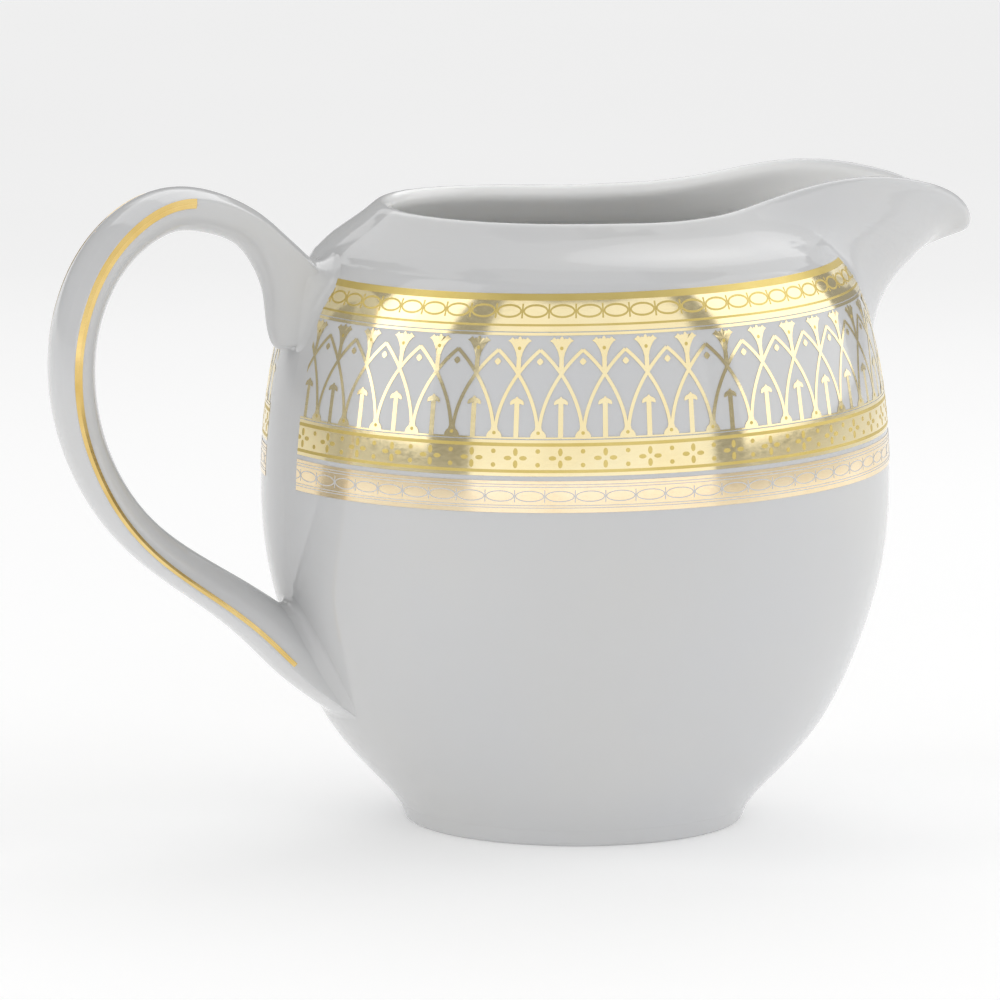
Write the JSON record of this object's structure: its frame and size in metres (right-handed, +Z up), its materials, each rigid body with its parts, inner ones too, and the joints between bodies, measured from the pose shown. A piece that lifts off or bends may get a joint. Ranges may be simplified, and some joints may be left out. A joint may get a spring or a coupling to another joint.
{
  "type": "cream jug",
  "caption": "Round-bellied porcelain cream jug with a broad flared pouring lip, a large loop handle and gold ornament bands round the shoulder.",
  "frame": {"origin": "centre of the foot ring's resting face, on the body's axis", "axes": "+Z up, +X towards the pouring lip with the handle on the -X side, XZ is the plane of symmetry"},
  "size_m": [0.1463, 0.0954, 0.0987],
  "materials": {
    "body_glaze": "glossy clear glaze on white porcelain",
    "handle_glaze": "glossy clear glaze on white porcelain",
    "bright_gold": "bright fired gold with matt lines",
    "rose_gold": "pale fired gold, slightly pink",
    "handle_gold": "bright painted gold"
  },
  "bodies": {
    "root": {"jug_body": "body_glaze", "handle": "handle_glaze", "upper_gold_band_left": "bright_gold", "arcade_frieze_left": "bright_gold", "flower_band_left": "bright_gold", "lower_gold_band_left": "rose_gold", "handle_line_left": "handle_gold", "upper_gold_band_right": "bright_gold", "arcade_frieze_right": "bright_gold", "flower_band_right": "bright_gold", "lower_gold_band_right": "rose_gold", "handle_line_right": "handle_gold"}
  },
  "joints": []
}
